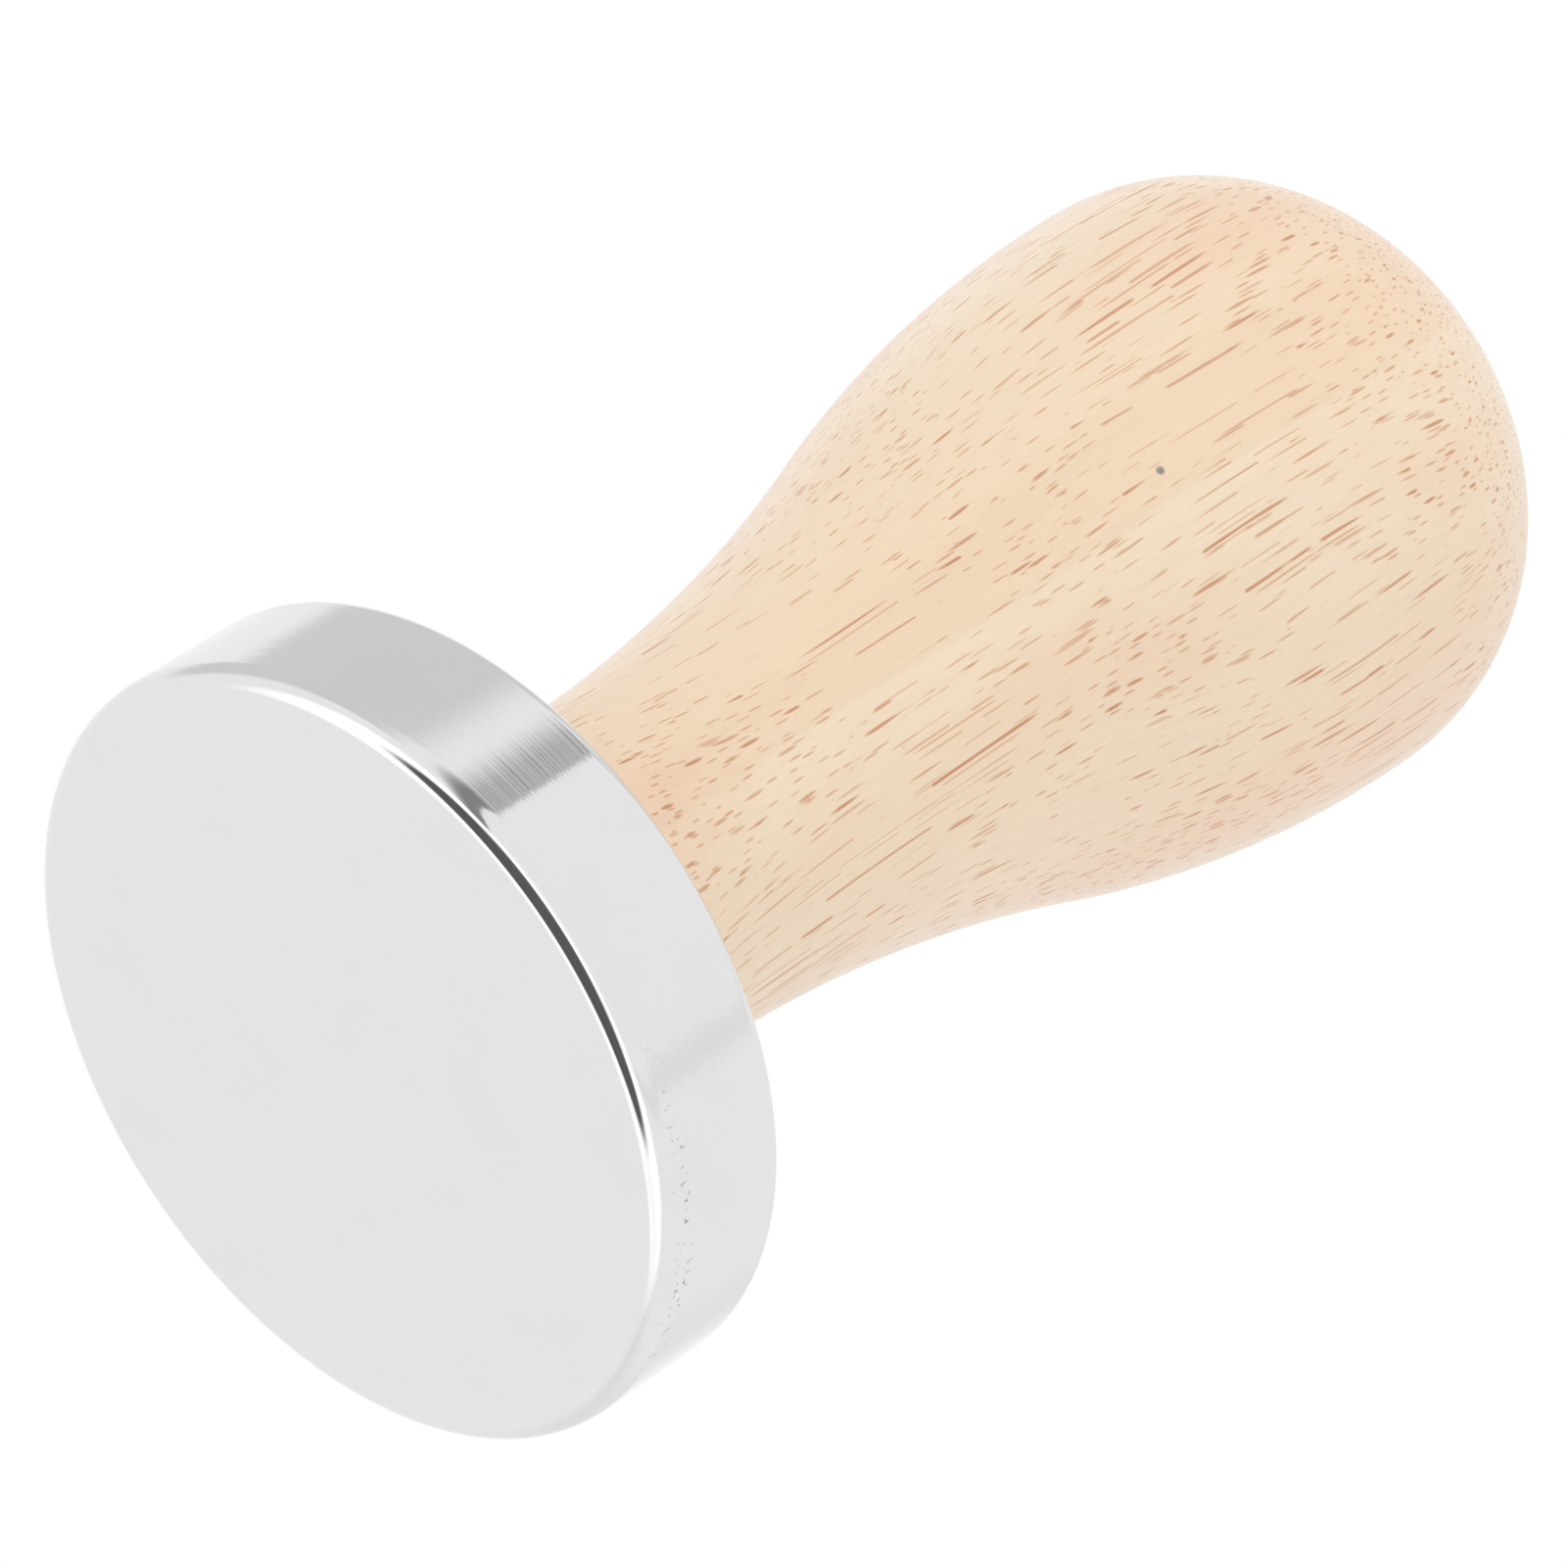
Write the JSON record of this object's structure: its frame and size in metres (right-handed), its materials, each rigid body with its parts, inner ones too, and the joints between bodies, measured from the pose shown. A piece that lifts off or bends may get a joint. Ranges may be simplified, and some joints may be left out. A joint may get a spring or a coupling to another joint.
{
  "type": "espresso tamper",
  "caption": "Flat round steel tamper base with a turned wooden handle that unscrews from it, for pressing ground coffee in a filter basket.",
  "frame": {"origin": "centre of the base's flat lower face", "axes": "+Z along the tamper's axis, from the flat face up to the end of the handle; +X and +Y are any two directions across it, because the body is round"},
  "size_m": [0.051, 0.051, 0.0984],
  "materials": {
    "polished_steel": "polished stainless steel, fine turning lines on the side wall",
    "turned_wood": "pale rubberwood, satin lacquer, fine open pores along the grain",
    "washer_rubber": "matte black",
    "insert_brass": "machined",
    "stud_steel": "plain machined steel"
  },
  "bodies": {
    "base": {"tamper_base": "polished_steel"},
    "washer": {"seat_washer": "washer_rubber"},
    "grip": {"handle": "turned_wood", "threaded_insert": "insert_brass", "threaded_stud": "stud_steel"}
  },
  "joints": [
    {"name": "unscrew_lift", "type": "slide", "parent": "base", "child": "washer", "axis": [0, 0, 1], "range_m": [0, 0.00635]},
    {"name": "unscrew_turn", "type": "hinge", "parent": "washer", "child": "grip", "pos_m": [0, 0, 0.011], "axis": [0, 0, 1], "range_deg": [0, 1800]}
  ],
  "couplings": [
    {"joint": "unscrew_lift", "follows": "unscrew_turn", "m_per_rad": 0.00019894}
  ]
}
